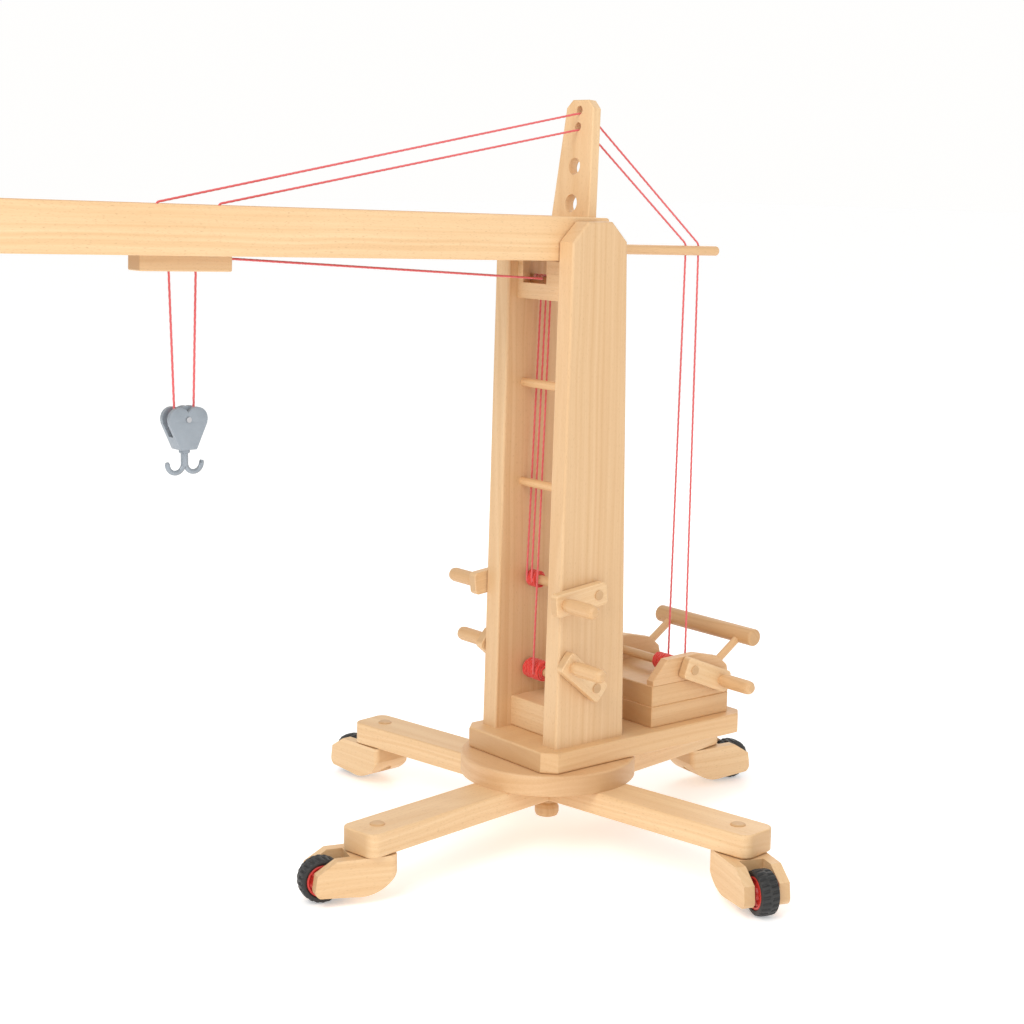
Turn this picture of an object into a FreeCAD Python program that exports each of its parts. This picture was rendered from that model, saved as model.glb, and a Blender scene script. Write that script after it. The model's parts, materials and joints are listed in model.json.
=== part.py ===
import FreeCAD, Part
import math
import os

# Toy tower crane in beech, millimetres.
# +X runs along the jib to its tip, +Y to its left, +Z up.
# The origin is on the floor, on the axis the crane slews about.

V = FreeCAD.Vector

# ---- driving dimensions ----
CLEAR = 0.05              # radial running clearance of every turning pair

ARM_TURN = 8.4            # heading of the front arm of the cross, degrees
ARM_W = 47.0
ARM_Z0, ARM_Z1 = 47.0, 71.0
ARM_R = 277.0             # centre to the end of an arm
SWIVEL_R = 248.5          # centre to a caster's swivel axis

DISC_R = 92.0
DISC_Z1 = 92.2

BOARD_Z0, BOARD_Z1 = 92.4, 114.4
BOARD_X0, BOARD_X1 = -224.0, 60.0
BOARD_Y = 72.0
BOARD_CUT = 13.0

PLANK_Y0, PLANK_T = 38.4, 22.0
PLANK_TOP = 647.7
PLANK_CUT = 20.0
PLANK_FOOT_X = (-51.7, 41.3)
PLANK_HEAD_X = (-39.7, 32.0)

JIB_PIVOT = (-4.0, 630.0)  # X and Z of the luffing axis
JIB_PITCH = 1.5            # degrees above level with the jib lowered
JIB_U0, JIB_U1 = -35.0, 680.0
JIB_W0, JIB_W1 = 608.0, 651.5
JIB_V = 37.5
JIB_SIDE_T = 8.5
JIB_TOP_T = 9.5

MAST_U = -19.0
MAST_T = 11.0
MAST_LEAN = 4.0
MAST_TOP = 768.0
ROD_R = 5.2
ROD_W = 619.5
ROD_U1 = -225.6
ROD_HOLES = (-179.0, -198.0)
STAY_ANCHORS = (396.0, 458.0)

TROLLEY_U = 433.0
TROLLEY_L = 92.0
TROLLEY_W = 22.0
BLOCK_W0, BLOCK_W1 = 593.5, 607.5

FALL_X, FALL_TOP_Z = 432.2, 604.0
SHEAVE_Z = 474.5
SHEAVE_R = 9.5             # to the middle of the rope in its groove
ROPE_R = 1.1

AXLE_R = 5.0
UPPER_WINCH = (-3.0, 272.6)
LOWER_WINCH = (-3.0, 175.0)
REAR_WINCH = (-144.0, 172.5)
UPPER_COIL_R, LOWER_COIL_R, REAR_COIL_R = 8.5, 11.5, 9.5
CRANK_W = 24.0
CRANK_T = 10.0
ARM_END = 12.0             # crank arm beyond its handle
HANDLE_R = 7.5
HANDLE_L = 46.0

WHEEL_R = 22.5
WHEEL_W = 19.2
RIM_R = 16.0
FORK_W = 48.0
FORK_SLOT = 26.0
CASTER_TRAIL = 57.0
# name, heading of the arm, heading of the wheel from its swivel
CASTERS = (
    ("front", ARM_TURN, -17.0),
    ("left", ARM_TURN + 90.0, 70.0),
    ("rear", ARM_TURN + 180.0, 172.5),
    ("right", ARM_TURN + 270.0, 274.0),
)


# ---- shape helpers ----
def box(x0, x1, y0, y1, z0, z1):
    return Part.makeBox(x1 - x0, y1 - y0, z1 - z0, V(x0, y0, z0))


def rod(p, q, r):
    a = V(*p)
    d = V(*q) - a
    return Part.makeCylinder(r, d.Length, a, d)


def cyl_y(x, z, r, y0, y1):
    return Part.makeCylinder(r, y1 - y0, V(x, y0, z), V(0, 1, 0))


def cyl_z(x, y, r, z0, z1):
    return Part.makeCylinder(r, z1 - z0, V(x, y, z0), V(0, 0, 1))


def prism_xz(points, y0, y1):
    ring = [V(x, y0, z) for x, z in points]
    face = Part.Face(Part.makePolygon(ring + ring[:1]))
    return face.extrude(V(0, y1 - y0, 0))


def prism_xy(points, z0, z1):
    ring = [V(x, y, z0) for x, y in points]
    face = Part.Face(Part.makePolygon(ring + ring[:1]))
    return face.extrude(V(0, 0, z1 - z0))


def turned(profile, origin, axis):
    # profile is (radius, distance along the axis), spun into a solid
    ring = [V(r, 0, h) for r, h in profile]
    face = Part.Face(Part.makePolygon(ring + ring[:1]))
    solid = face.revolve(V(0, 0, 0), V(0, 0, 1), 360)
    turn = FreeCAD.Rotation(V(0, 0, 1), V(*axis))
    solid.Placement = FreeCAD.Placement(V(*origin), turn)
    return solid


def along(edge, axis):
    d = edge.Vertexes[-1].Point - edge.Vertexes[0].Point
    return d.Length > 1e-6 and abs(abs(d.normalize().dot(axis)) - 1.0) < 1e-4


def rounded(shape, radius, wanted):
    edges = [e for e in shape.Edges if len(e.Vertexes) == 2 and wanted(e)]
    return shape.makeFillet(radius, edges)


def upright(edge):
    return along(edge, V(0, 0, 1))


def pitched(shape):
    out = shape.copy()
    out.rotate(V(JIB_PIVOT[0], 0, JIB_PIVOT[1]), V(0, 1, 0), -JIB_PITCH)
    return out


def pitched_point(u, v, w):
    a = math.radians(JIB_PITCH)
    du, dw = u - JIB_PIVOT[0], w - JIB_PIVOT[1]
    x = JIB_PIVOT[0] + du * math.cos(a) - dw * math.sin(a)
    z = JIB_PIVOT[1] + du * math.sin(a) + dw * math.cos(a)
    return (x, v, z)


def strand(points, r=ROPE_R):
    # a rope run with round shoulders where it bends
    out = rod(points[0], points[1], r)
    for i in range(1, len(points) - 1):
        out = out.fuse(Part.makeSphere(r + 0.03, V(*points[i])))
        out = out.fuse(rod(points[i], points[i + 1], r))
    return out


def arc_points(cx, cz, r, a0, a1, y, steps):
    out = []
    for i in range(steps + 1):
        a = math.radians(a0 + (a1 - a0) * i / steps)
        out.append((cx + r * math.cos(a), y, cz + r * math.sin(a)))
    return out


def save(name, shapes):
    shape = shapes[0] if len(shapes) == 1 else Part.makeCompound(shapes)
    shape.exportStep("parts/" + name + ".step")


def polar(r, deg):
    a = math.radians(deg)
    return (r * math.cos(a), r * math.sin(a))


os.makedirs("parts", exist_ok=True)


# ---- base: half-lapped cross, bearing disc, caster bolts ----
def cross_beam(turn, lap_z0, lap_z1):
    beam = box(-ARM_R, ARM_R, -ARM_W / 2, ARM_W / 2, ARM_Z0, ARM_Z1)
    beam = rounded(beam, 11.0, upright)
    beam = rounded(beam, 2.0, lambda e: along(e, V(1, 0, 0)))
    lap = box(-ARM_W / 2, ARM_W / 2, -ARM_W, ARM_W, lap_z0, lap_z1)
    beam = beam.cut(lap)
    beam = beam.cut(cyl_z(0, 0, 6.0 + CLEAR, 0, 200))
    for sign in (-1, 1):
        beam = beam.cut(cyl_z(sign * SWIVEL_R, 0, 4.0, 0, 200))
    beam.rotate(V(0, 0, 0), V(0, 0, 1), turn)
    return beam


mid = (ARM_Z0 + ARM_Z1) / 2
save("cross_beam_lower", [cross_beam(ARM_TURN, mid, 200)])
save("cross_beam_upper", [cross_beam(ARM_TURN + 90.0, 0, mid)])

disc = Part.makeCylinder(DISC_R, DISC_Z1 - ARM_Z1, V(0, 0, ARM_Z1))
disc = disc.makeFillet(2.5, disc.Edges[:1])
disc = disc.cut(cyl_z(0, 0, 6.0 + CLEAR, 0, 200))
save("turntable_disc", [disc])

bolts = []
for name, arm, heading in CASTERS:
    x, y = polar(SWIVEL_R, arm)
    profile = ((0, 24), (6.5, 24), (6.5, 29.8), (4, 29.8), (4, 46.1), (9, 46.1), (9, 46.95),
               (4, 46.95), (4, 71), (7.5, 71), (7.5, 71.7), (6, 72.6), (0, 72.9))
    bolts.append(turned(profile, (x, y, 0), (0, 0, 1)))
save("caster_swivel_bolts", bolts)


# ---- casters: fork with its pin, hub, tyre ----
def fork():
    top = ARM_Z0 - 1.0
    end = CASTER_TRAIL + 12.0
    edges = [
        Part.LineSegment(V(-14, 0, top), V(47, 0, top)).toShape(),
        Part.LineSegment(V(47, 0, top), V(end - 2, 0, 33.5)).toShape(),
        Part.LineSegment(V(end - 2, 0, 33.5), V(end, 0, 20)).toShape(),
        Part.Arc(V(end, 0, 20), V(end - 1.2, 0, 14), V(64, 0, 11)).toShape(),
        Part.LineSegment(V(64, 0, 11), V(30, 0, 8.6)).toShape(),
        Part.Arc(V(30, 0, 8.6), V(1, 0, 14), V(-14, 0, 30)).toShape(),
        Part.LineSegment(V(-14, 0, 30), V(-14, 0, top)).toShape(),
    ]
    face = Part.Face(Part.Wire(edges))
    solid = face.extrude(V(0, FORK_W, 0))
    solid.translate(V(0, -FORK_W / 2, 0))
    solid = rounded(solid, 6.0, lambda e: upright(e) and e.Vertexes[0].Point.x < 0)
    half = FORK_SLOT / 2
    solid = solid.cut(box(31.5, 120, -half, half, -10, 80))
    solid = solid.cut(cyl_z(0, 0, 4.0 + CLEAR, 0, 80))
    solid = solid.cut(cyl_z(0, 0, 7.0, 0, 30.0))
    return solid.cut(cyl_y(CASTER_TRAIL, WHEEL_R, 4.0, -40, 40))


def hub():
    h = WHEEL_W / 2 + 0.5
    rim, dish, bore = RIM_R, RIM_R - 2.8, 4.0 + CLEAR
    profile = ((bore, -h), (7.5, -h), (7.5, -h + 2.2), (dish, -h + 3.4), (dish, -h + 1.6),
               (rim, -h + 1.6), (rim, h - 1.6), (dish, h - 1.6), (dish, h - 3.4), (7.5, h - 2.2),
               (7.5, h), (bore, h))
    return turned(profile, (CASTER_TRAIL, 0, WHEEL_R), (0, 1, 0))


def tyre():
    h = WHEEL_W / 2
    r = WHEEL_R
    rim = RIM_R
    profile = ((rim, -h + 1.2), (rim + 1.2, -h), (r - 3, -h), (r - 0.8, -h + 1.8), (r, -h + 4.5),
               (r, h - 4.5), (r - 0.8, h - 1.8), (r - 3, h), (rim + 1.2, h), (rim, h - 1.2))
    return turned(profile, (CASTER_TRAIL, 0, WHEEL_R), (0, 1, 0))


for name, arm, heading in CASTERS:
    x, y = polar(SWIVEL_R, arm)
    pin = cyl_y(CASTER_TRAIL, WHEEL_R, 4.0, -FORK_W / 2, FORK_W / 2)
    sets = (("caster_fork_", [fork(), pin]), ("wheel_hub_", [hub()]), ("tyre_", [tyre()]))
    for prefix, shapes in sets:
        for shape in shapes:
            shape.rotate(V(0, 0, 0), V(0, 0, 1), heading)
            shape.translate(V(x, y, 0))
        save(prefix + name, shapes)


# ---- turntable: platform and centre pivot ----
c = BOARD_CUT
outline = ((BOARD_X0 + c, -BOARD_Y), (BOARD_X1 - c, -BOARD_Y), (BOARD_X1, -BOARD_Y + c),
           (BOARD_X1, BOARD_Y - c), (BOARD_X1 - c, BOARD_Y), (BOARD_X0 + c, BOARD_Y),
           (BOARD_X0, BOARD_Y - c), (BOARD_X0, -BOARD_Y + c))
board = prism_xy(outline, BOARD_Z0, BOARD_Z1)
board = rounded(board, 2.5, lambda e: not upright(e))
board = board.cut(cyl_z(0, 0, 6.0, 0, 200))
save("platform_board", [board])

knob = ((0, 21), (8, 21), (11.5, 22.5), (12.8, 26), (12.8, 31), (11, 34.5), (8.5, 36.5),
        (8.5, 38.5), (12, 40), (12, 46.6), (6, 46.6), (6, BOARD_Z1), (0, BOARD_Z1))
save("centre_pivot", [turned(knob, (0, 0, 0), (0, 0, 1))])


# ---- turntable: tower ----
GUIDE_CUT = (-30.0, 7.0)   # sides of the notch the ropes pass through


def plank(side):
    k = PLANK_CUT
    (a0, a1), (b0, b1) = PLANK_FOOT_X, PLANK_HEAD_X
    z0, z1 = BOARD_Z1, PLANK_TOP
    points = ((a0, z0), (a1, z0), (b1, z1 - k), (b1 - k, z1), (b0 + k, z1), (b0, z1 - k))
    y0 = PLANK_Y0 if side > 0 else -PLANK_Y0 - PLANK_T
    solid = prism_xz(points, y0, y0 + PLANK_T)

    def soften(e):
        return min(v.Point.z for v in e.Vertexes) > z0 + 1 or not along(e, V(1, 0, 0))

    solid = rounded(solid, 2.5, lambda e: soften(e) and not along(e, V(0, 1, 0)))
    for x, z in (UPPER_WINCH, LOWER_WINCH):
        solid = solid.cut(cyl_y(x, z, AXLE_R + CLEAR, -100, 100))
    reach = PLANK_Y0 + 8.5
    return solid.cut(cyl_y(JIB_PIVOT[0], JIB_PIVOT[1], 5.0 + CLEAR, -reach, reach))


save("left_tower_plank", [plank(1)])
save("right_tower_plank", [plank(-1)])

foot = box(-30, 20, -PLANK_Y0, PLANK_Y0, BOARD_Z1, 147)
save("tower_foot_block", [rounded(foot, 2.0, lambda e: along(e, V(0, 1, 0)))])

rungs = [cyl_y(10, z, 4.5, -PLANK_Y0, PLANK_Y0) for z in (376.6, 480.5)]
save("tower_rungs", rungs)

guide = box(12, 21, -PLANK_Y0, PLANK_Y0, 568, 607.4)
guide = guide.cut(box(0, 60, GUIDE_CUT[0], GUIDE_CUT[1], 584, 700))
save("rope_guide_board", [guide])

ROLLER = (0.0, 583.0, 7.0)
save("rope_roller", [cyl_y(ROLLER[0], ROLLER[1], ROLLER[2], -PLANK_Y0, PLANK_Y0)])


# ---- turntable: ballast boards, winch cheeks, push bar ----
def ballast(z0, z1):
    solid = box(-207, -93, -59.5, 59.5, z0, z1)
    return solid.makeChamfer(0.9, solid.Edges)


BALLAST_TOP = 160.0
BALLAST_MID = (BOARD_Z1 + BALLAST_TOP) / 2
save("ballast_boards", [ballast(BOARD_Z1, BALLAST_MID), ballast(BALLAST_MID, BALLAST_TOP)])

BAR = (-230.0, 197.0)
STRUT_FOOT = (-190.0, 170.0)
STRUT_Y = 53.5
struts = []
for side in (-1, 1):
    a = (STRUT_FOOT[0], side * STRUT_Y, STRUT_FOOT[1])
    b = (BAR[0], side * STRUT_Y, BAR[1])
    struts.append(rod(a, b, 4.2))

cheeks = []
for side in (-1, 1):
    y0, y1 = sorted((side * 48.5, side * 59.5))
    points = ((-94, BALLAST_TOP), (-94, 165), (-114, 186), (-158, 187), (-191, 179), (-204, 168),
              (-206, BALLAST_TOP))
    cheek = prism_xz(points, y0, y1)
    cheek = rounded(cheek, 1.5, lambda e: not along(e, V(0, 1, 0)) and e.BoundBox.ZMax > BALLAST_TOP + 0.5)
    cheek = cheek.cut(cyl_y(REAR_WINCH[0], REAR_WINCH[1], AXLE_R + CLEAR, y0 - 1, y1 + 1))
    for strut in struts:
        cheek = cheek.cut(strut)
    cheeks.append(cheek)
save("winch_cheeks", cheeks)

bar = cyl_y(BAR[0], BAR[1], 9.5, -75, 75)
bar = bar.makeFillet(2.5, [e for e in bar.Edges if len(e.Vertexes) == 1])
for strut in struts:
    bar = bar.cut(strut)
save("push_bar", [bar])
save("push_bar_struts", struts)


# ---- winches: axle, rope coil, crank arms and handles ----
def coil(x, z, y0, y1, r, turns):
    # rope wound on a dowel, one ridge per turn
    step = (y1 - y0) / turns
    profile = [(AXLE_R, 0)]
    for i in range(turns):
        profile += [(r - 0.8, i * step), (r, (i + 0.3) * step), (r, (i + 0.7) * step)]
    profile += [(r - 0.8, y1 - y0), (AXLE_R, y1 - y0)]
    return turned(profile, (x, y0, z), (0, 1, 0))


def crank_arm(ahead, y0, y1):
    h = CRANK_W / 2
    solid = box(-12, ahead, y0, y1, -h, h)
    solid = rounded(solid, 5.0, lambda e: along(e, V(0, 1, 0)))
    solid = rounded(solid, 1.2, lambda e: not along(e, V(0, 1, 0)))
    return solid.cut(cyl_y(0, 0, AXLE_R, -200, 200))


def handle(throw, y, side):
    r, n = HANDLE_R, HANDLE_L
    profile = ((0, 0), (r - 1.8, 0), (r - 1.0, 3), (r, 9), (r, n - 7), (r - 0.7, n - 3.5),
               (r - 3, n - 0.8), (0, n))
    return turned(profile, (throw, side * y, 0), (0, side, 0))


def winch(name, spot, turn, wall, throw, coils, coil_r):
    x, z = spot
    ahead = throw + ARM_END
    inner = wall + 0.8
    outer = inner + CRANK_T
    save(name + "_axle", [cyl_y(x, z, AXLE_R, -outer - 1.2, outer + 1.2)])
    save(name + "_rope_coil", [coil(x, z, y0, y1, coil_r, n) for y0, y1, n in coils])
    arms = [crank_arm(ahead, inner, outer), crank_arm(ahead, -outer, -inner)]
    grips = [handle(throw, outer, 1), handle(throw, outer, -1)]
    for shape in arms + grips:
        shape.rotate(V(0, 0, 0), V(0, 1, 0), -turn)
        shape.translate(V(x, 0, z))
    save(name + "_crank_arms", arms)
    save(name + "_crank_handles", grips)


tower_wall = PLANK_Y0 + PLANK_T
winch("trolley_winch", UPPER_WINCH, -6.0, tower_wall, 44.0, [(-37.0, -21.0, 7)], UPPER_COIL_R)
winch("hoist_winch", LOWER_WINCH, 40.0, tower_wall, 41.0, [(-37.0, -8.0, 13)], LOWER_COIL_R)
winch("luff_winch", REAR_WINCH, 202.0, 59.5, 45.0, [(12.0, 46.0, 15)], REAR_COIL_R)


# ---- jib, mast and tail rod: one lever, built level and then pitched ----
inner = JIB_V - JIB_SIDE_T


def jib_side(side):
    y0, y1 = sorted((side * inner, side * JIB_V))
    solid = box(JIB_U0, JIB_U1, y0, y1, JIB_W0, JIB_W1)
    solid = rounded(solid, 4.0, lambda e: along(e, V(0, 1, 0)))
    outer = side * JIB_V
    solid = rounded(solid, 1.5, lambda e: abs(e.BoundBox.Center.y - outer) < 0.1)
    return pitched(solid.cut(cyl_y(JIB_PIVOT[0], JIB_PIVOT[1], 5.0, -100, 100)))


save("jib_side_left", [jib_side(1)])
save("jib_side_right", [jib_side(-1)])

half_w, head_w = inner - 0.1, 20.5
mast_ring = [V(MAST_U - MAST_T / 2, v, w) for v, w in (
    (-half_w, 622), (half_w, 622), (half_w, JIB_W1 + 1), (head_w, 760), (12, MAST_TOP),
    (-12, MAST_TOP), (-head_w, 760), (-half_w, JIB_W1 + 1))]
mast = Part.Face(Part.makePolygon(mast_ring + mast_ring[:1])).extrude(V(MAST_T, 0, 0))
mast = rounded(mast, 1.5, lambda e: not along(e, V(1, 0, 0)) and e.BoundBox.ZMin > JIB_W1)
for w, r in ((757.5, 4.5), (741.0, 4.5), (701.5, 8.5), (664.5, 9.0)):
    mast = mast.cut(Part.makeCylinder(r, 60, V(MAST_U - 30, 0, w), V(1, 0, 0)))
mast.rotate(V(MAST_U, 0, JIB_W1), V(0, 1, 0), -MAST_LEAN)

tail = box(JIB_U0, MAST_U - MAST_T / 2 - 1.2, -inner, inner, JIB_W0 + 2, JIB_W1 - JIB_TOP_T)
tip = box(JIB_U1 - 22, JIB_U1 - 1, -inner, inner, JIB_W0 + 1, JIB_W1 - JIB_TOP_T)
tail_rod = rod((MAST_U + 18, 0, ROD_W), (ROD_U1, 0, ROD_W), ROD_R)
tail_rod = tail_rod.makeFillet(2.0, [e for e in tail_rod.Edges if e.BoundBox.XMax < -220])
for u in ROD_HOLES:
    tail_rod = tail_rod.cut(cyl_z(u, 0, ROPE_R + 0.4, 600, 640))
tail = tail.cut(mast).cut(tail_rod)
mast = mast.cut(tail_rod)

top_board = box(JIB_U0 + 1, JIB_U1 - 1, -inner, inner, JIB_W1 - JIB_TOP_T, JIB_W1 - 0.6)
top_board = top_board.cut(mast)
for u in STAY_ANCHORS:
    top_board = top_board.cut(cyl_z(u, 0, ROPE_R + 0.3, 600, 700))

rails = []
for side in (-1, 1):
    v0, v1 = sorted((side * (inner - 7), side * inner))
    rails.append(pitched(box(50, JIB_U1 - 22, v0, v1, 611, 617)))

save("mast_board", [pitched(mast)])
save("tail_rod", [pitched(tail_rod)])
save("jib_top_board", [pitched(top_board)])
save("jib_end_blocks", [pitched(tail), pitched(tip)])
save("jib_rails", rails)
reach = PLANK_Y0 + 8.0
save("jib_pivot_dowel", [pitched(cyl_y(JIB_PIVOT[0], JIB_PIVOT[1], 5.0, -reach, reach))])


# ---- ropes of the lever: stays to the mast head and on to the tail rod ----
def lean(w):
    # a hole of the mast, moved by its lean
    a = math.radians(MAST_LEAN)
    return (MAST_U - (w - JIB_W1) * math.sin(a), JIB_W1 + (w - JIB_W1) * math.cos(a))


stays = []
for w, anchor, hole in ((757.5, STAY_ANCHORS[1], ROD_HOLES[1]), (741.0, STAY_ANCHORS[0], ROD_HOLES[0])):
    u, h = lean(w)
    stays.append(pitched(strand(((anchor, 0, 643), (anchor, 0, JIB_W1 + 2), (u + 7, 0, h),
                                 (u - 7, 0, h), (hole, 0, ROD_W + ROD_R + 1),
                                 (hole, 0, ROD_W - ROD_R)))))
save("stay_ropes", stays)

# runs below the jib, from the trolley back to the notch in the guide board
NOTCH_X, NOTCH_Z = 23.0, 589.5
runs = []
for v in (-7.0, -2.0, 3.0):
    a = pitched_point(TROLLEY_U - TROLLEY_L / 2 - 1.5, v, 605.0)
    runs.append(strand((a, (NOTCH_X, v, NOTCH_Z))))
save("jib_ropes", runs)

# from the notch over the roller and down its back to the fronts of the two tower drums
falls = []
WRAP = (85.0, 178.0, 3)     # first and last angle over the roller, and the straights between
R0 = (ROLLER[2] + ROPE_R + 0.1) / math.cos(math.radians((WRAP[1] - WRAP[0]) / WRAP[2] / 2))
for v, y, foot_y, spot, r in ((-7.0, -35.0, -33.0, UPPER_WINCH, UPPER_COIL_R),
                              (-2.0, -27.0, -25.0, UPPER_WINCH, UPPER_COIL_R),
                              (3.0, -20.0, -16.0, LOWER_WINCH, LOWER_COIL_R)):
    through = (10.4, v - 17.0, NOTCH_Z + 1.2)
    over = arc_points(ROLLER[0], ROLLER[1], R0, WRAP[0], WRAP[1], y, WRAP[2])
    foot_point = (spot[0] + r + ROPE_R + 0.1, foot_y, spot[1] + 2)
    falls.append(strand([(NOTCH_X - 1, v, NOTCH_Z), through] + over + [foot_point]))
save("tower_ropes", falls)

# from the tail rod down to the luffing winch
rear = []
for hole, y in zip(ROD_HOLES, (18.0, 44.0)):
    a = pitched_point(hole, 0, ROD_W - ROD_R - 1.0)
    rear.append(strand((a, (REAR_WINCH[0] - REAR_COIL_R - ROPE_R - 0.1, y, REAR_WINCH[1] + 2))))
save("rear_falls", rear)


# ---- trolley ----
def trolley_holes(shape):
    for s in (-13.4, 13.4):
        shape = shape.cut(cyl_z(TROLLEY_U + s, 0, ROPE_R + 1.2, 580, 640))
    return shape


u0, u1 = TROLLEY_U - TROLLEY_L / 2, TROLLEY_U + TROLLEY_L / 2
block = box(u0, u1, -TROLLEY_W / 2, TROLLEY_W / 2, BLOCK_W0, BLOCK_W1)
block = rounded(block, 1.5, lambda e: e.BoundBox.ZMax < BLOCK_W1 - 0.1 or upright(e))
save("trolley_block", [pitched(trolley_holes(block))])
neck = box(u0 + 4, u1 - 4, -10, 10, BLOCK_W1, 617.3)
plate = box(u0, u1, -inner + 0.6, inner - 0.6, 617.3, 626)
save("trolley_carriage", [pitched(trolley_holes(neck.fuse(plate).removeSplitter()))])


# ---- hoist: rope falls, hook block with its sheave, double hook ----
falls = []
for s in (-1, 1):
    a = (FALL_X + s * 13.4, 0, FALL_TOP_Z)
    falls.append(strand((a, (FALL_X + s * SHEAVE_R, 0, SHEAVE_Z))))
save("hoist_falls", falls)

fx, sz = FALL_X, SHEAVE_Z
body = prism_xz(((fx - 19, sz - 3), (fx - 8, sz - 27), (fx + 8, sz - 27), (fx + 19, sz - 3)), -8.5, 8.5)
for s in (-1, 1):
    body = body.fuse(cyl_y(fx + s * 8.8, sz + 0.5, 10.5, -8.5, 8.5))
body = body.fuse(box(fx - 8.8, fx + 8.8, -8.5, 8.5, sz - 20, sz + 4))
body = body.removeSplitter()
body = body.cut(box(fx - 40, fx + 40, -4.2, 4.2, sz - 15.5, sz + 40))
body = body.cut(cyl_y(fx, sz, 2.5, -30, 30))
body = body.cut(cyl_z(fx, 0, 3.0 + CLEAR, 300, sz))
save("hook_block", [body])
save("sheave_pin", [cyl_y(fx, sz, 2.5, -9.5, 9.5)])
rim, root = SHEAVE_R + 2.3, SHEAVE_R - ROPE_R
sheave = ((2.5 + CLEAR, -3.6), (rim, -3.6), (rim, -2.6), (root, -0.9), (root, 0.9), (rim, 2.6),
          (rim, 3.6), (2.5 + CLEAR, 3.6))
save("hook_sheave", [turned(sheave, (fx, 0, sz), (0, 1, 0))])

shank = ((0, sz - 42), (3.4, sz - 42), (3.4, sz - 31), (5, sz - 30), (5, sz - 27.3), (3, sz - 27.3),
         (3, sz - 15.3), (4, sz - 15.3), (4, sz - 13.5), (0, sz - 13.5))
hook = turned(shank, (fx, 0, 0), (0, 0, 1))
HORN_Z, HORN_R, HORN_T = sz - 40.0, 8.0, 2.3
for s in (-1, 1):
    cx = fx + s * (HORN_R + 1.2)
    ring = Part.makeTorus(HORN_R, HORN_T, V(cx, 0, HORN_Z), V(0, 1, 0))
    ring = ring.cut(box(cx - 30, cx + 30, -20, 20, HORN_Z, HORN_Z + 40))
    tip_point = V(cx + s * HORN_R, 0, HORN_Z)
    hook = hook.fuse(ring)
    hook = hook.fuse(Part.makeCone(HORN_T, 1.6, 2.0, tip_point, V(s * 0.25, 0, 1)))
    inner_point = V(cx - s * HORN_R, 0, HORN_Z)
    hook = hook.fuse(Part.makeCylinder(HORN_T, 3, inner_point, V(0, 0, 1)))
save("double_hook", [hook])
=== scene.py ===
import json
import math

import bmesh
import bpy
import numpy as np
from mathutils import Matrix, Vector


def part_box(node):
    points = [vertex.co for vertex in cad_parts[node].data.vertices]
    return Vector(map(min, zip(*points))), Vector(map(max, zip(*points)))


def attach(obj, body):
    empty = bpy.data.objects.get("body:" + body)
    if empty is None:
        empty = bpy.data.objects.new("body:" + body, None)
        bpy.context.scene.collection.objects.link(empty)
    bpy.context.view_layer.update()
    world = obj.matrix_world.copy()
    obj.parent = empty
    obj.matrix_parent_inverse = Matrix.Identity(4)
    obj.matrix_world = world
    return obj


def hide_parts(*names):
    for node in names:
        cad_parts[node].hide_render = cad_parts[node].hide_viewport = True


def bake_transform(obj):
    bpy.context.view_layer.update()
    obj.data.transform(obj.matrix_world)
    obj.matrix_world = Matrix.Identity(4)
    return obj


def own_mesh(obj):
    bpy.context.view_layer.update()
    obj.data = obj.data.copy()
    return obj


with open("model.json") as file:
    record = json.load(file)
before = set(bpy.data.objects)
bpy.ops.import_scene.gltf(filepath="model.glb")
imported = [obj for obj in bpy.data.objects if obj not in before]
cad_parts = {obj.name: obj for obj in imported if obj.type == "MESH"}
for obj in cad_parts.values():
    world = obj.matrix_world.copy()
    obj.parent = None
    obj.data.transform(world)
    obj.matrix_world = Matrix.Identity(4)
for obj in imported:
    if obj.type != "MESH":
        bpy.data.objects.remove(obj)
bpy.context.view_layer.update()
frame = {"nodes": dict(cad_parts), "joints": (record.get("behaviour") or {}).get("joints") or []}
NODES = frame["nodes"]
JOINTS = {j["name"]: j for j in frame["joints"]}
MM = 0.001
# the jib's rise towards its tip at rest
PITCH = math.radians(1.5)


# ---------------------------------------------------------------- shader helpers
def new_material(name):
    mat = bpy.data.materials.new(name)
    mat.use_nodes = True
    tree = mat.node_tree
    tree.nodes.clear()
    out = tree.nodes.new("ShaderNodeOutputMaterial")
    bsdf = tree.nodes.new("ShaderNodeBsdfPrincipled")
    tree.links.new(bsdf.outputs[0], out.inputs[0])
    return mat, tree, bsdf


def add(tree, kind, **values):
    node = tree.nodes.new(kind)
    for key, value in values.items():
        setattr(node, key, value)
    return node


def link(tree, a, b):
    tree.links.new(a, b)


def maths(tree, op, a, b=None, clamp=False):
    node = add(tree, "ShaderNodeMath", operation=op, use_clamp=clamp)
    for i, v in enumerate((a, b)):
        if v is None:
            continue
        if isinstance(v, (int, float)):
            node.inputs[i].default_value = v
        else:
            link(tree, v, node.inputs[i])
    return node.outputs[0]


def vmath(tree, op, a, b=None):
    node = add(tree, "ShaderNodeVectorMath", operation=op)
    for i, v in enumerate((a, b)):
        if v is None:
            continue
        if isinstance(v, (tuple, list, Vector)):
            node.inputs[i].default_value = tuple(v)
        else:
            link(tree, v, node.inputs[i])
    return node


def noise(tree, vector, detail=3.0, rough=0.55):
    node = add(tree, "ShaderNodeTexNoise")
    node.inputs["Scale"].default_value = 1.0
    node.inputs["Detail"].default_value = detail
    node.inputs["Roughness"].default_value = rough
    link(tree, vector, node.inputs["Vector"])
    return node.outputs["Fac"]


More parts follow.
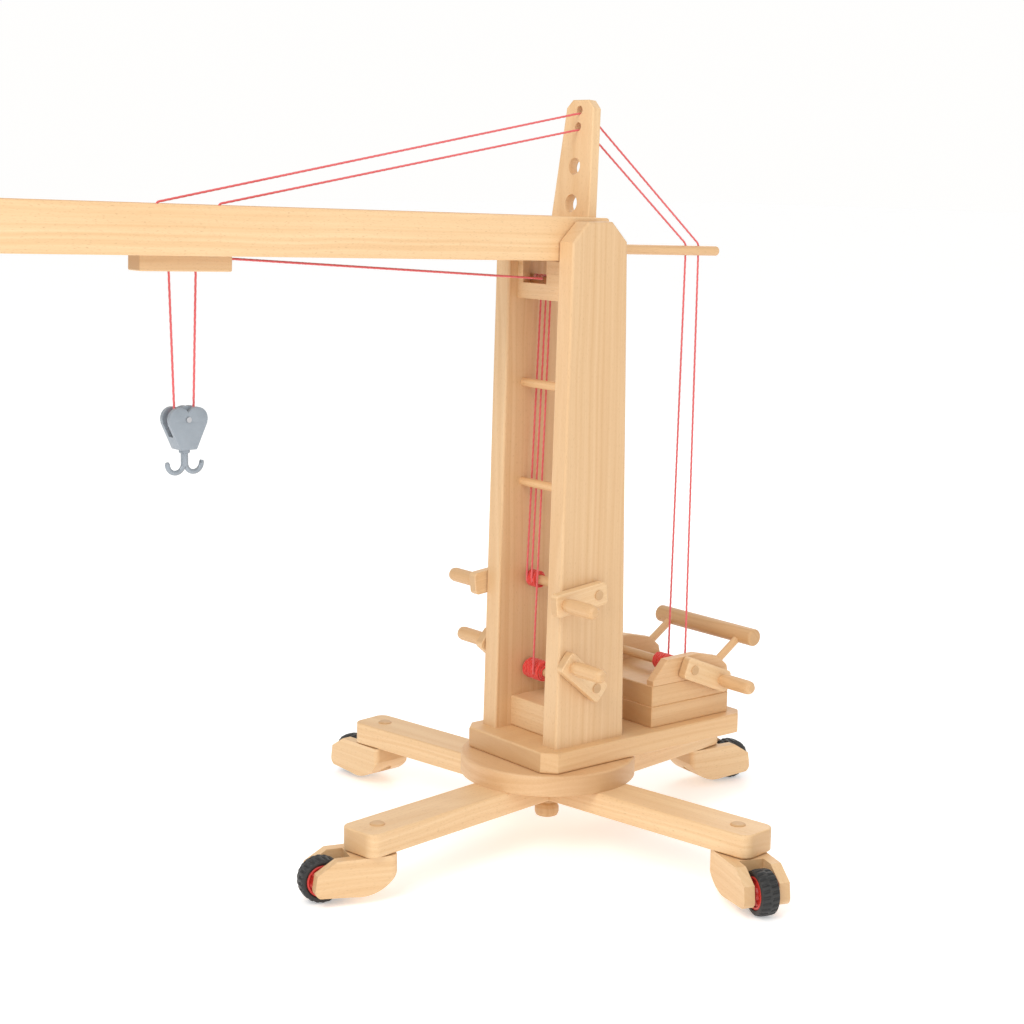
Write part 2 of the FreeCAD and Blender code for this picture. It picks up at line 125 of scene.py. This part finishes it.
def object_noise(tree, coords, per_metre, detail=3.0, rough=0.55):
    """Noise over the part's own space, at one frequency for all axes or one for each."""
    frequency = per_metre if isinstance(per_metre, tuple) else (per_metre,) * 3
    scaled = vmath(tree, "MULTIPLY", coords.outputs["Object"], frequency)
    return noise(tree, scaled.outputs[0], detail, rough)


def mix(tree, fac, a, b):
    node = add(tree, "ShaderNodeMix", data_type="RGBA", blend_type="MIX")
    for slot, v in (("Factor", fac), ("A", a), ("B", b)):
        socket = [s for s in node.inputs if s.name == slot and s.enabled][0]
        if isinstance(v, (int, float, tuple)):
            socket.default_value = v
        else:
            link(tree, v, socket)
    return [s for s in node.outputs if s.enabled][0]


def bump(tree, bsdf, height, distance, strength):
    node = add(tree, "ShaderNodeBump")
    node.inputs["Distance"].default_value = distance
    node.inputs["Strength"].default_value = strength
    link(tree, height, node.inputs["Height"])
    link(tree, node.outputs[0], bsdf.inputs["Normal"])


# ---------------------------------------------------------------- materials
def shade(colour, tone):
    return tuple(c * t for c, t in zip(colour, tone)) + (1,)


def beech(name, grain, seed, tone=(1, 1, 1), dowel=False):
    """Oiled beech with its grain along one axis: growth rings, streaks, ray flecks and darker end grain."""
    mat, tree, bsdf = new_material(name)
    a = Vector(grain).normalized()
    side = Vector((0, 0, 1)) if abs(a.z) < 0.8 else Vector((1, 0, 0))
    b = side.cross(a).normalized()
    c = a.cross(b)
    coords = add(tree, "ShaderNodeTexCoord")
    parts = [vmath(tree, "DOT_PRODUCT", coords.outputs["Object"], v).outputs["Value"] for v in (a, b, c)]
    comb = add(tree, "ShaderNodeCombineXYZ")
    for i, p in enumerate(parts):
        link(tree, p, comb.inputs[i])
    shift = (seed * 0.37, seed * 0.113 % 0.9, seed * 0.071 % 0.7)
    p = vmath(tree, "ADD", comb.outputs[0], shift).outputs[0]

    def stretched(x, yz, detail=3.0, rough=0.55):
        return noise(tree, vmath(tree, "MULTIPLY", p, (x, yz, yz)).outputs[0], detail, rough)

    wander = stretched(2.2, 9.0, 2.0)
    split = add(tree, "ShaderNodeSeparateXYZ")
    link(tree, comb.outputs[0], split.inputs[0])
    pith = 0.012 + 0.02 * (seed * 0.618 % 1.0)
    drift = maths(tree, "MULTIPLY", maths(tree, "SUBTRACT", wander, 0.5), 0.030)
    cy = maths(tree, "ADD", maths(tree, "ADD", split.outputs[1], pith), drift)
    cz = maths(tree, "ADD", maths(tree, "ADD", split.outputs[2], 0.11 + pith), drift)
    squares = [maths(tree, "MULTIPLY", v, v) for v in (cy, cz)]
    radius = maths(tree, "SQRT", maths(tree, "ADD", *squares))
    ring = add(tree, "ShaderNodeTexNoise", noise_dimensions="1D")
    ring.inputs["Detail"].default_value = 2.5
    ring.inputs["Scale"].default_value = 190.0
    link(tree, radius, ring.inputs["W"])
    streak = stretched(9.0, 520.0, 4.0, 0.6)
    broad = stretched(3.0, 22.0, 2.0)
    fleck = stretched(260.0, 1500.0, 1.0, 0.4)
    fleck_mask = maths(tree, "MULTIPLY", maths(tree, "SUBTRACT", fleck, 0.60, True), 5.0, True)
    rings = maths(tree, "MULTIPLY", ring.outputs["Fac"], 0.50)
    body = maths(tree, "ADD", rings, maths(tree, "MULTIPLY", streak, 0.28))
    body = maths(tree, "ADD", body, maths(tree, "MULTIPLY", broad, 0.34))
    body = maths(tree, "MULTIPLY", maths(tree, "SUBTRACT", body, 0.36), 2.1, True)
    light, dark = shade((0.830, 0.585, 0.335), tone), shade((0.700, 0.430, 0.205), tone)
    if dowel:
        light, dark = shade((0.760, 0.500, 0.265), tone), shade((0.610, 0.350, 0.155), tone)
    colour = mix(tree, body, light, dark)
    colour = mix(tree, maths(tree, "MULTIPLY", fleck_mask, 0.45), colour, (0.47, 0.26, 0.12, 1))
    facing = vmath(tree, "DOT_PRODUCT", coords.outputs["Normal"], a).outputs["Value"]
    end = maths(tree, "POWER", maths(tree, "ABSOLUTE", facing), 6.0, True)
    pores = noise(tree, vmath(tree, "MULTIPLY", p, (60.0, 2400.0, 2400.0)).outputs[0], 2.0, 0.7)
    end_colour = mix(tree, pores, shade((0.62, 0.38, 0.18), tone), shade((0.47, 0.27, 0.12), tone))
    colour = mix(tree, maths(tree, "MULTIPLY", end, 0.30 if dowel else 0.62), colour, end_colour)
    link(tree, colour, bsdf.inputs["Base Color"])
    rough = maths(tree, "ADD", maths(tree, "MULTIPLY", streak, 0.22), 0.40)
    link(tree, rough, bsdf.inputs["Roughness"])
    bsdf.inputs["Coat Weight"].default_value = 0.12
    bsdf.inputs["Coat Roughness"].default_value = 0.35
    height = maths(tree, "SUBTRACT", streak, maths(tree, "MULTIPLY", fleck_mask, 0.4))
    bump(tree, bsdf, height, 0.00022, 0.55)
    return mat


def rope_material(name, pale):
    """Red cord: fine fibres, mixed by pale toward a slow pink fade that is painted light, the bright surround
    washing over thin strands, with lint catching light at the edges.
    """
    mat, tree, bsdf = new_material(name)
    coords = add(tree, "ShaderNodeTexCoord")
    fibre = object_noise(tree, coords, (2600, 2600, 1500), 3.0, 0.65)
    fade = object_noise(tree, coords, 30, 2.0)
    red = mix(tree, fibre, (0.88, 0.070, 0.045, 1), (0.62, 0.022, 0.018, 1))
    # painted light: pale pink where the bright surround washes over a thin strand
    painted_pale_wash = mix(tree, fade, (0.78, 0.20, 0.22, 1), (0.66, 0.11, 0.13, 1))
    link(tree, mix(tree, pale, red, painted_pale_wash), bsdf.inputs["Base Color"])
    bsdf.inputs["Roughness"].default_value = 0.85
    bsdf.inputs["Sheen Weight"].default_value = 0.5
    bsdf.inputs["Sheen Roughness"].default_value = 0.5
    bump(tree, bsdf, fibre, 0.00018, 0.7)
    return mat


def rubber():
    mat, tree, bsdf = new_material("tyre_rubber")
    coords = add(tree, "ShaderNodeTexCoord")
    fine = object_noise(tree, coords, 900, 3.0, 0.6)
    dust = object_noise(tree, coords, 70, 3.0, 0.6)
    link(tree, mix(tree, dust, (0.010, 0.010, 0.011, 1), (0.034, 0.033, 0.032, 1)), bsdf.inputs["Base Color"])
    link(tree, maths(tree, "ADD", maths(tree, "MULTIPLY", dust, 0.25), 0.38), bsdf.inputs["Roughness"])
    bump(tree, bsdf, fine, 0.00012, 0.5)
    return mat


def plastic(name, low, high, roughness, metallic=0.0):
    mat, tree, bsdf = new_material(name)
    coords = add(tree, "ShaderNodeTexCoord")
    flow = object_noise(tree, coords, 60, 3.0, 0.6)
    skin = object_noise(tree, coords, 1800, 2.0, 0.6)
    link(tree, mix(tree, flow, low, high), bsdf.inputs["Base Color"])
    link(tree, maths(tree, "ADD", maths(tree, "MULTIPLY", flow, 0.18), roughness), bsdf.inputs["Roughness"])
    bsdf.inputs["Metallic"].default_value = metallic
    bump(tree, bsdf, skin, 0.00006, 0.6)
    return mat


# the paler cord paints in the bright surround over the free strands; the deep one is the cord's full red
CORD = rope_material("cord_worn", 0.65)
CORD_DEEP = rope_material("cord_fresh", 0.0)
RUBBER = rubber()
RED = plastic("hub_red", (0.60, 0.030, 0.025, 1), (0.72, 0.060, 0.045, 1), 0.22)
GREY = plastic("hook_grey", (0.25, 0.285, 0.32, 1), (0.36, 0.40, 0.445, 1), 0.30, 0.35)
STEEL = plastic("pin_steel", (0.42, 0.42, 0.43, 1), (0.62, 0.62, 0.64, 1), 0.22, 1.0)


# ---------------------------------------------------------------- wood on the carried CAD nodes
def heading(joint_spin):
    """The level direction across a wheel's axle, which is the fork's length."""
    x, y, _ = JOINTS[joint_spin]["axis"]
    return (y, -x, 0)


def slope(degrees):
    """A direction in the XZ plane, so many degrees above +X."""
    a = math.radians(degrees)
    return (math.cos(a), 0, math.sin(a))


ALONG_JIB = (math.cos(PITCH), 0, math.sin(PITCH))
CROSS_TURN = math.radians(8.4)
ARM_A = (math.cos(CROSS_TURN), math.sin(CROSS_TURN), 0)
ARM_B = (-math.sin(CROSS_TURN), math.cos(CROSS_TURN), 0)
X, Y, Z = (1, 0, 0), (0, 1, 0), (0, 0, 1)
# painted shade: darker, more saturated beech tones for parts that sit in shadow
SHADE_DEEP_TONE, SHADE_WARM_TONE = (0.85, 0.78, 0.70), (0.89, 0.82, 0.77)
# node: grain axis, tone (one number or per channel; the per-channel tones are painted shade), dowel
WOOD = {
    "cross_beam_lower": (ARM_A, 1.0, False),
    "cross_beam_upper": (ARM_B, 1.01, False),
    "turntable_disc": (Y, SHADE_WARM_TONE, False),
    "caster_swivel_bolts": (Z, 0.94, True),
    "platform_board": (X, (0.91, 0.86, 0.80), False),
    "centre_pivot": (Z, 0.95, True),
    "left_tower_plank": (Z, (0.90, 0.88, 0.87), False),
    "right_tower_plank": (Z, (0.92, 0.90, 0.89), False),
    "tower_foot_block": (Y, 0.96, False),
    "tower_rungs": (Y, 1.08, True),
    "rope_guide_board": (Y, 1.0, False),
    "rope_roller": (Y, 1.0, True),
    "ballast_boards": (X, SHADE_DEEP_TONE, False),
    "winch_cheeks": (X, SHADE_WARM_TONE, False),
    "push_bar": (Y, (0.86, 0.82, 0.76), True),
    "push_bar_struts": ((-40, 0, 27), 1.0, True),
    "jib_side_left": (ALONG_JIB, 1.05, False),
    "jib_side_right": (ALONG_JIB, 1.03, False),
    "jib_top_board": (ALONG_JIB, 1.0, False),
    "jib_rails": (ALONG_JIB, 0.98, False),
    "jib_end_blocks": (Y, 0.98, False),
    "jib_pivot_dowel": (Y, 1.0, True),
    "mast_board": ((-math.sin(PITCH), 0, math.cos(PITCH)), 0.98, False),
    "tail_rod": (ALONG_JIB, 1.02, True),
    "trolley_block": (ALONG_JIB, 0.97, False),
    "trolley_carriage": (ALONG_JIB, 0.98, False),
}
for winch, angle in (("trolley_winch", -6.0), ("hoist_winch", 40.0), ("luff_winch", 202.0)):
    WOOD[winch + "_crank_arms"] = (slope(angle), 0.97, False)
    WOOD[winch + "_crank_handles"] = (Y, 0.98, True)
    WOOD[winch + "_axle"] = (Y, 0.88, True)
CORNERS = ("front", "left", "rear", "right")
for corner in CORNERS:
    WOOD["caster_fork_" + corner] = (heading("wheel_spin_" + corner), 0.98, False)


def dress(node, mat):
    data = NODES[node].data
    data.materials.clear()
    data.materials.append(mat)
    for polygon in data.polygons:
        polygon.material_index = 0


for count, (node, (grain, tone, dowel)) in enumerate(sorted(WOOD.items())):
    channels = tone if isinstance(tone, tuple) else (tone, tone, tone)
    dress(node, beech("beech_" + node, grain, count + 1.0, channels, dowel))
for node in ("hook_sheave", "double_hook"):
    dress(node, GREY)
dress("sheave_pin", STEEL)


# ---------------------------------------------------------------- mesh helpers
def mesh_object(name, verts, faces, mat, smooth=True):
    data = bpy.data.meshes.new(name)
    data.from_pydata([tuple(v) for v in verts], [], faces)
    data.validate()
    data.materials.append(mat)
    for polygon in data.polygons:
        polygon.use_smooth = smooth
    obj = bpy.data.objects.new(name, data)
    bpy.context.scene.collection.objects.link(obj)
    return obj


def eased_copy(name, node, mat, width):
    """The node's own solid with every hard edge rounded over, as a moulding has."""
    weld = 0.02 * MM
    flat, hard_edge, crease = math.radians(4), math.radians(35), math.radians(40)
    bm = bmesh.new()
    bm.from_mesh(NODES[node].data)
    bmesh.ops.remove_doubles(bm, verts=bm.verts, dist=weld)
    bmesh.ops.dissolve_limit(bm, angle_limit=flat, verts=bm.verts, edges=bm.edges)
    hard = [e for e in bm.edges if len(e.link_faces) == 2 and e.calc_face_angle(0) > hard_edge]
    bmesh.ops.bevel(bm, geom=hard, offset=width, segments=3, profile=0.5, affect="EDGES", clamp_overlap=True)
    data = bpy.data.meshes.new(name)
    bm.to_mesh(data)
    bm.free()
    data.materials.clear()
    data.materials.append(mat)
    for polygon in data.polygons:
        polygon.use_smooth = True
        polygon.material_index = 0
    data.set_sharp_from_angle(angle=crease)
    obj = bpy.data.objects.new(name, data)
    bpy.context.scene.collection.objects.link(obj)
    return obj


def cornered(points, reach):
    """The same path with each inner corner drawn as a short curve."""
    pts = [np.array(p, float) for p in points]
    out = [pts[0]]
    for before, at, after in zip(pts, pts[1:], pts[2:]):
        a, b = before - at, after - at
        ra = min(reach, np.linalg.norm(a) * 0.45)
        rb = min(reach, np.linalg.norm(b) * 0.45)
        p, q = at + a / np.linalg.norm(a) * ra, at + b / np.linalg.norm(b) * rb
        for t in np.linspace(0, 1, 7):
            out.append((1 - t) ** 2 * p + 2 * t * (1 - t) * at + t * t * q)
    out.append(pts[-1])
    return out


def resampled(points, step):
    pts = np.array(points, float)
    lengths = np.r_[0, np.cumsum(np.linalg.norm(np.diff(pts, axis=0), axis=1))]
    count = max(2, int(lengths[-1] / step))
    s = np.linspace(0, lengths[-1], count + 1)
    return np.stack([np.interp(s, lengths, pts[:, i]) for i in range(3)], 1), s


def laid_rope(paths, r, step=1.0 * MM, sides=10, lay=7.0 * MM):
    """Three-strand laid cord along each path, in one mesh with closed ends."""
    verts, faces = [], []
    angles = np.arange(sides) * 2 * math.pi / sides
    for path in paths:
        pts, s = resampled(path, step)
        tangent = np.gradient(pts, axis=0)
        tangent /= np.linalg.norm(tangent, axis=1)[:, None]
        side = np.cross(tangent[0], (0.3, 0.9, 0.2))
        side /= np.linalg.norm(side)
        base = len(verts)
        for i in range(len(pts)):
            side = side - tangent[i] * (side @ tangent[i])
            side /= np.linalg.norm(side)
            other = np.cross(tangent[i], side)
            bulge = r * (0.90 + 0.12 * np.cos(3 * angles - 2 * math.pi * s[i] / lay))
            for angle, radius in zip(angles, bulge):
                verts.append(pts[i] + radius * (side * math.cos(angle) + other * math.sin(angle)))
        for i in range(len(pts) - 1):
            for k in range(sides):
                n = (k + 1) % sides
                a, b = base + i * sides, base + (i + 1) * sides
                faces.append((a + k, a + n, b + n, b + k))
        faces.append(tuple(base + k for k in reversed(range(sides))))
        last = base + (len(pts) - 1) * sides
        faces.append(tuple(last + k for k in range(sides)))
    return verts, faces


def rope_object(name, paths, r, mat, **options):
    verts, faces = laid_rope(paths, r, **options)
    obj = mesh_object(name, verts, faces, mat)
    return obj


def pivot_point():
    return np.array(JOINTS["jib_luff"]["pos_m"])


def turned(x, z, angle):
    """A point of the XZ plane, turned about the origin from +X towards +Z."""
    return x * math.cos(angle) - z * math.sin(angle), x * math.sin(angle) + z * math.cos(angle)


def pitched(u, v, w):
    """A point of the jib, given as if the jib lay level."""
    px, _, pz = pivot_point()
    x, z = turned(u - px, w - pz, PITCH)
    return (px + x, v, pz + z)


# ---------------------------------------------------------------- ropes
# radius of the cord
ROPE = 1.15 * MM
MAST_LEAN = math.radians(4.0)
MAST_U, JIB_TOP = -19.0 * MM, 651.5 * MM
# holes in the tail rod, which the stays end in and the rear falls start from
OUTER_HOLE, INNER_HOLE = -198.0 * MM, -179.0 * MM
# heights along the stays: inside the top board, clear above it, clear above the tail rod, inside the rod
STAY_ROOT, STAY_OUT, ROD_OUT, ROD_INSIDE = 644.0 * MM, 652.5 * MM, 626.2 * MM, 615.5 * MM
# past the mast's faces, and down to the lower edge of its hole
MAST_REACH, MAST_REST = 7.5 * MM, 3.2 * MM


def mast_hole(w):
    """Where a hole at height w up the leaning mast lies, with the jib level."""
    return MAST_U - (w - JIB_TOP) * math.sin(MAST_LEAN), JIB_TOP + (w - JIB_TOP) * math.cos(MAST_LEAN)


def stay_path(hole_height, anchor, rod_hole):
    """From the jib's top board, through the mast's hole on its lower edge, and down into the tail rod."""
    u, h = mast_hole(hole_height)
    rest = h - MAST_REST
    level = [
        (anchor, 0, STAY_ROOT),
        (anchor, 0, STAY_OUT),
        (u + MAST_REACH, 0, rest),
        (u - MAST_REACH, 0, rest),
        (rod_hole, 0, ROD_OUT),
        (rod_hole, 0, ROD_INSIDE),
    ]
    return cornered([pitched(*p) for p in level], 4 * MM)


stays = [
    stay_path(757.5 * MM, 458.0 * MM, OUTER_HOLE),
    stay_path(741.0 * MM, 396.0 * MM, INNER_HOLE),
]
stay = rope_object("stay_cords", stays, ROPE, CORD)
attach(stay, "jib")
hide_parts("stay_ropes")


# each fall of the luffing rope runs from its hole in the tail rod down to its own foot on the drum
FALL_TOP = 615.0 * MM
LUFF_DRUM, DRUM_RISE = 10.6 * MM, 3 * MM
TUCK = np.array((0.8 * MM, 0, -5 * MM))
winch = np.array(JOINTS["luff_crank"]["pos_m"])
for label, hole, y in (("outer", OUTER_HOLE, 44.0 * MM), ("inner", INNER_HOLE, 18.0 * MM)):
    top = np.array(pitched(hole, 0, FALL_TOP))
    foot = np.array((winch[0] - LUFF_DRUM, y, winch[2] + DRUM_RISE))
    fall = rope_object("rear_fall_cord_" + label, [[top, foot, foot + TUCK]], ROPE, CORD)
    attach(fall, "turntable")
    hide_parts("rear_falls")
    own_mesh(fall)


# three strands: from the trolley under the jib, through the guide board's notch, over the roller, to a drum
NOTCH_X, NOTCH_Z = 23.0 * MM, 589.5 * MM
RUN_END_Z = 605.0 * MM
ROLLER_Z, ROLLER_WRAP = 583.0 * MM, 8.2 * MM
BOARD_X, LEAD_SHIFT, LEAD_RISE = 10.4 * MM, 17.0 * MM, 1.2 * MM
upper = JOINTS["trolley_crank"]["pos_m"]
lower = JOINTS["hoist_crank"]["pos_m"]
block_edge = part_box("trolley_block")[0].x + 2.5 * MM


def over_roller(y):
    """The quarter turn of a strand over the roller, from its top to its rear."""
    arc = [math.radians(a) for a in range(90, 181, 15)]
    return [(ROLLER_WRAP * math.cos(a), y, ROLLER_Z + ROLLER_WRAP * math.sin(a)) for a in arc]


def down_to_drum(spot, coil, y):
    """The foot of a strand, which meets the front of its drum and bends in round it."""
    x = spot[0] + coil + 0.6 * MM
    return [(x, y, spot[2] + 4 * MM), (x - 0.8 * MM, y, spot[2] - 2 * MM)]


runs, leads, strands = [], [], []
for notch_y, roller_y, foot_y, spot, coil in (
    (-7.0, -35.0, -33.0, upper, 8.5),
    (-2.0, -27.0, -25.0, upper, 8.5),
    (3.0, -20.0, -16.0, lower, 11.5),
):
    notch = (NOTCH_X, notch_y * MM, NOTCH_Z)
    through = (BOARD_X, notch_y * MM - LEAD_SHIFT, NOTCH_Z + LEAD_RISE)
    over = over_roller(roller_y * MM)
    runs.append([notch, pitched(block_edge, notch_y * MM, RUN_END_Z)])
    leads.append(cornered([notch, through, over[0]], 4 * MM))
    strands.append(over + down_to_drum(spot, coil * MM, foot_y * MM))
run = rope_object("jib_run_cords", runs, ROPE, CORD)
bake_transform(run)
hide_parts("jib_ropes")
lead = rope_object("guide_lead_cords", leads, ROPE, CORD)
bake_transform(lead)
strand = rope_object("tower_cords", strands, ROPE, CORD)
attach(strand, "turntable")
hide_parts("tower_ropes")

# two falls from the trolley to the hook block, and the half turn round its sheave
FALL_HALF_GAP, SHEAVE_R = 13.4 * MM, 9.5 * MM
HIDDEN_TOP = 7 * MM
swing = JOINTS["fall_swing"]["pos_m"]
sheave = JOINTS["sheave_spin"]["pos_m"]
falls = []
for side in (-1, 1):
    x = swing[0] + side * FALL_HALF_GAP
    path = [(x, 0, swing[2] + HIDDEN_TOP), (x, 0, swing[2] - MM), (sheave[0] + side * SHEAVE_R, 0, sheave[2])]
    falls.append(cornered(path, 2 * MM))
fall = rope_object("hoist_fall_cords", falls, ROPE, CORD)
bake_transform(fall)
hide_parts("hoist_falls")
half_turn = np.linspace(-math.pi, 0, 25)
bight = [(sheave[0] + SHEAVE_R * math.cos(a), 0, sheave[2] + SHEAVE_R * math.sin(a)) for a in half_turn]
loop = rope_object("sheave_bight_cord", [bight], 1.05 * MM, CORD_DEEP)
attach(loop, "block")


shell = eased_copy("moulded_hook_block", "hook_block", GREY, 1.3 * MM)
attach(shell, "block")
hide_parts("hook_block")


STEPS_A_TURN = 20
DRUM_R = 6.1 * MM
TURN_PITCH, LAYER_INSET, LAYER_RISE = 2.25 * MM, 0.9 * MM, 1.95 * MM
UNEVEN_ALONG, UNEVEN_OUT = 0.35 * MM, 0.25 * MM


def wound(joint, y0, y1, layers, r0, seed):
    """Cord wound to and fro on a drum, each layer riding on the one below, with a hand-wound unevenness."""
    x, _, z = JOINTS[joint]["pos_m"]
    pts = []
    rng = np.random.RandomState(seed)
    wobble = rng.uniform(-1, 1, 64)
    angle = 0.0
    for k in range(layers):
        inset = k * LAYER_INSET
        lo, hi = y0 + inset, y1 - inset
        turns = (hi - lo) / TURN_PITCH
        steps = int(turns * STEPS_A_TURN)
        for i in range(steps):
            t = i / steps
            y = lo + (hi - lo) * (t if k % 2 == 0 else 1 - t)
            y += UNEVEN_ALONG * wobble[(i // 9 + 11 * k) % 64]
            r = r0 + k * LAYER_RISE + UNEVEN_OUT * wobble[(i // 5 + 7 * k) % 64]
            pts.append((x + r * math.cos(angle), y, z + r * math.sin(angle)))
            angle += 2 * math.pi / STEPS_A_TURN
    return pts


for name, joint, y0, y1, layers, seed in (
    ("trolley_winch", "trolley_crank", -36.4, -21.4, 2, 3),
    ("hoist_winch", "hoist_crank", -36.4, -8.6, 3, 5),
    ("luff_winch", "luff_crank", 12.6, 45.4, 2, 8),
):
    path = wound(joint, y0 * MM, y1 * MM, layers, DRUM_R, seed)
    roll = rope_object(
        name + "_wound_cord", [path], 1.2 * MM, CORD_DEEP, step=1.3 * MM, sides=8, lay=6.0 * MM
    )
    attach(roll, name)
    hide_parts(name + "_rope_coil")


# ---------------------------------------------------------------- wheels
def lathe_grid(profile, count, radial=None):
    """A closed (radius, height) profile spun about local Z. radial(angle, r, h) moves a point out."""
    verts, faces = [], []
    n = len(profile)
    for i in range(count):
        a = 2 * math.pi * i / count
        for r, h in profile:
            rr = r + (radial(a, r, h) if radial else 0.0)
            verts.append((rr * math.cos(a), rr * math.sin(a), h))
    for i in range(count):
        j = (i + 1) % count
        for k in range(n):
            m = (k + 1) % n
            faces.append((i * n + k, j * n + k, j * n + m, i * n + m))
    return verts, faces


TYRE_R, TREAD_HALF = 22.5 * MM, 8.0
# radius and height from the bead out to the tread, in mm
SHOULDER = ((16.0, 8.2), (16.7, 9.1), (17.5, 9.5), (18.8, 9.6), (19.9, 9.3), (20.9, 8.6))


def tyre_profile():
    """Bead and shoulder, crowned tread, then the same shoulder mirrored."""
    near = [(r * MM, -h * MM) for r, h in SHOULDER]
    far = [(r, -h) for r, h in reversed(near)]
    across = np.linspace(-TREAD_HALF, TREAD_HALF, 29)
    crown = [(TYRE_R - 0.9 * MM * (abs(h) / TREAD_HALF) ** 2.5, h * MM) for h in across]
    return near + crown + far


LUGS = 22
TREAD_FROM, TREAD_DEPTH = 21.0 * MM, 1.5 * MM


def tread(a, r, h):
    """Chevron lugs either side of a zigzag centre rib."""
    if r < TREAD_FROM:
        return 0.0
    across = abs(h) / (TREAD_HALF * MM)
    sweep = a * LUGS + 1.5 * across * (1 if h > 0 else -1) + (math.pi if h > 0 else 0)
    lug = math.sin(sweep)
    groove = 1.0 / (1.0 + math.exp(-(lug + 0.25) * 9.0))
    rib = 1.0 / (1.0 + math.exp((across - 0.16 - 0.05 * math.sin(a * 2 * LUGS)) * 60.0))
    return -TREAD_DEPTH * (1 - max(groove, rib))


def placed(obj, joint):
    spin = JOINTS[joint]
    turn = Vector((0, 0, 1)).rotation_difference(Vector(spin["axis"])).to_matrix().to_4x4()
    obj.data.transform(Matrix.Translation(spin["pos_m"]) @ turn)


HUB_BOSS = [(4.05, -9.9), (6.9, -9.9), (7.4, -9.5), (7.5, -7.4)]
HUB_WEB = [(8.4, -6.8), (12.4, -6.6), (13.3, -7.2)]
HUB_RIM = [(13.6, -8.4), (14.2, -8.7), (15.9, -8.6)]
HUB_WAIST = [(15.98, 0.0)]
HUB_RIBS, RIB_HEIGHT = 6, 1.9 * MM
WEB_FROM, WEB_TO = 8.0, 12.9


def hub_mesh(name):
    """Moulded hub: rim, dished web with ribs and a raised boss, on both faces. Its profile is in mm."""
    near = HUB_BOSS + HUB_WEB + HUB_RIM
    prof = near + HUB_WAIST + [(r, -z) for r, z in reversed(near)]
    verts, faces = lathe_grid([(r * MM, z * MM) for r, z in prof], 96)
    lifted = []
    for x, y, z in verts:
        r = math.hypot(x, y) / MM
        if WEB_FROM < r < WEB_TO:
            wave = 0.5 + 0.5 * math.cos(HUB_RIBS * math.atan2(y, x))
            push = RIB_HEIGHT * wave ** 6
            z += push if z > 0 else -push
        lifted.append((x, y, z))
    return mesh_object(name, lifted, faces, RED)


for corner in CORNERS:
    verts, faces = lathe_grid(tyre_profile(), 264, tread)
    band = mesh_object("treaded_tyre_" + corner, verts, faces, RUBBER)
    placed(band, "wheel_spin_" + corner)
    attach(band, "wheel_" + corner)
    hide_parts("tyre_" + corner)
    core = hub_mesh("moulded_hub_" + corner)
    placed(core, "wheel_spin_" + corner)
    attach(core, "wheel_" + corner)
    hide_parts("wheel_hub_" + corner)


# ---------------------------------------------------------------- stage, light and camera
def stage_floor():
    mat, tree, bsdf = new_material("floor_pale")
    coords = add(tree, "ShaderNodeTexCoord")
    grain = object_noise(tree, coords, 3, 2.0)
    link(tree, mix(tree, grain, (0.90, 0.90, 0.905, 1), (0.93, 0.93, 0.93, 1)), bsdf.inputs["Base Color"])
    bsdf.inputs["Roughness"].default_value = 0.9
    bsdf.inputs["Specular IOR Level"].default_value = 0.1
    bsdf.inputs["Emission Color"].default_value = (1, 1, 1, 1)
    bsdf.inputs["Emission Strength"].default_value = 0.36
    reach, below = 30.0, 0.4 * MM
    corners = [(x * reach, y * reach, 0) for x, y in ((-1, -1), (1, -1), (1, 1), (-1, 1))]
    floor = mesh_object("stage_floor", corners, [(0, 1, 2, 3)], mat, False)
    floor.location.z = -below


def area(name, place, target, size, power):
    lamp = bpy.data.lights.new(name, "AREA")
    lamp.shape = "SQUARE"
    lamp.size = size
    lamp.energy = power
    lamp.color = (1.0, 0.985, 0.96)
    obj = bpy.data.objects.new(name, lamp)
    obj.location = place
    aim = Vector(target) - Vector(place)
    obj.rotation_mode = "QUATERNION"
    obj.rotation_quaternion = aim.to_track_quat("-Z", "Y")
    bpy.context.scene.collection.objects.link(obj)


stage_floor()
area("key", place=(2.6, 1.1, 2.8), target=(0.1, 0, 0.35), size=1.8, power=56)
area("fill", place=(0.4, 3.4, 1.6), target=(0.1, 0, 0.35), size=2.6, power=17)
area("rim", place=(-2.4, -1.6, 2.2), target=(0, 0, 0.4), size=1.6, power=22)

# a bright, even surround, brighter still where the camera sees it directly
SURROUND, EXTRA_TO_CAMERA = 0.70, 0.30
world = bpy.data.worlds.new("studio")
world.use_nodes = True
back = world.node_tree.nodes["Background"]
back.inputs[0].default_value = (1.0, 0.995, 0.985, 1)
seen = add(world.node_tree, "ShaderNodeLightPath").outputs["Is Camera Ray"]
extra = maths(world.node_tree, "MULTIPLY", seen, EXTRA_TO_CAMERA)
level = maths(world.node_tree, "ADD", extra, SURROUND)
link(world.node_tree, level, back.inputs[1])
bpy.context.scene.world = world

eye = Vector((1.2976, 1.5240, 0.6997))
yaw, tilt, roll = math.radians(230.80), math.radians(-9.98), math.radians(0.99)
ahead = Vector((math.cos(tilt) * math.cos(yaw), math.cos(tilt) * math.sin(yaw), math.sin(tilt)))
right = ahead.cross(Vector((0, 0, 1))).normalized()
upward = right.cross(ahead)
rolled_right = right * math.cos(roll) + upward * math.sin(roll)
rolled_up = -right * math.sin(roll) + upward * math.cos(roll)
lens = bpy.data.cameras.new("studio_camera")
lens.sensor_width = 36.0
lens.lens = 68.94
camera = bpy.data.objects.new("studio_camera", lens)
pose = Matrix((rolled_right, rolled_up, -ahead)).transposed().to_4x4()
camera.matrix_world = Matrix.Translation(eye) @ pose
bpy.context.scene.collection.objects.link(camera)
bpy.context.scene.camera = camera
bpy.context.scene.view_settings.view_transform = "Standard"
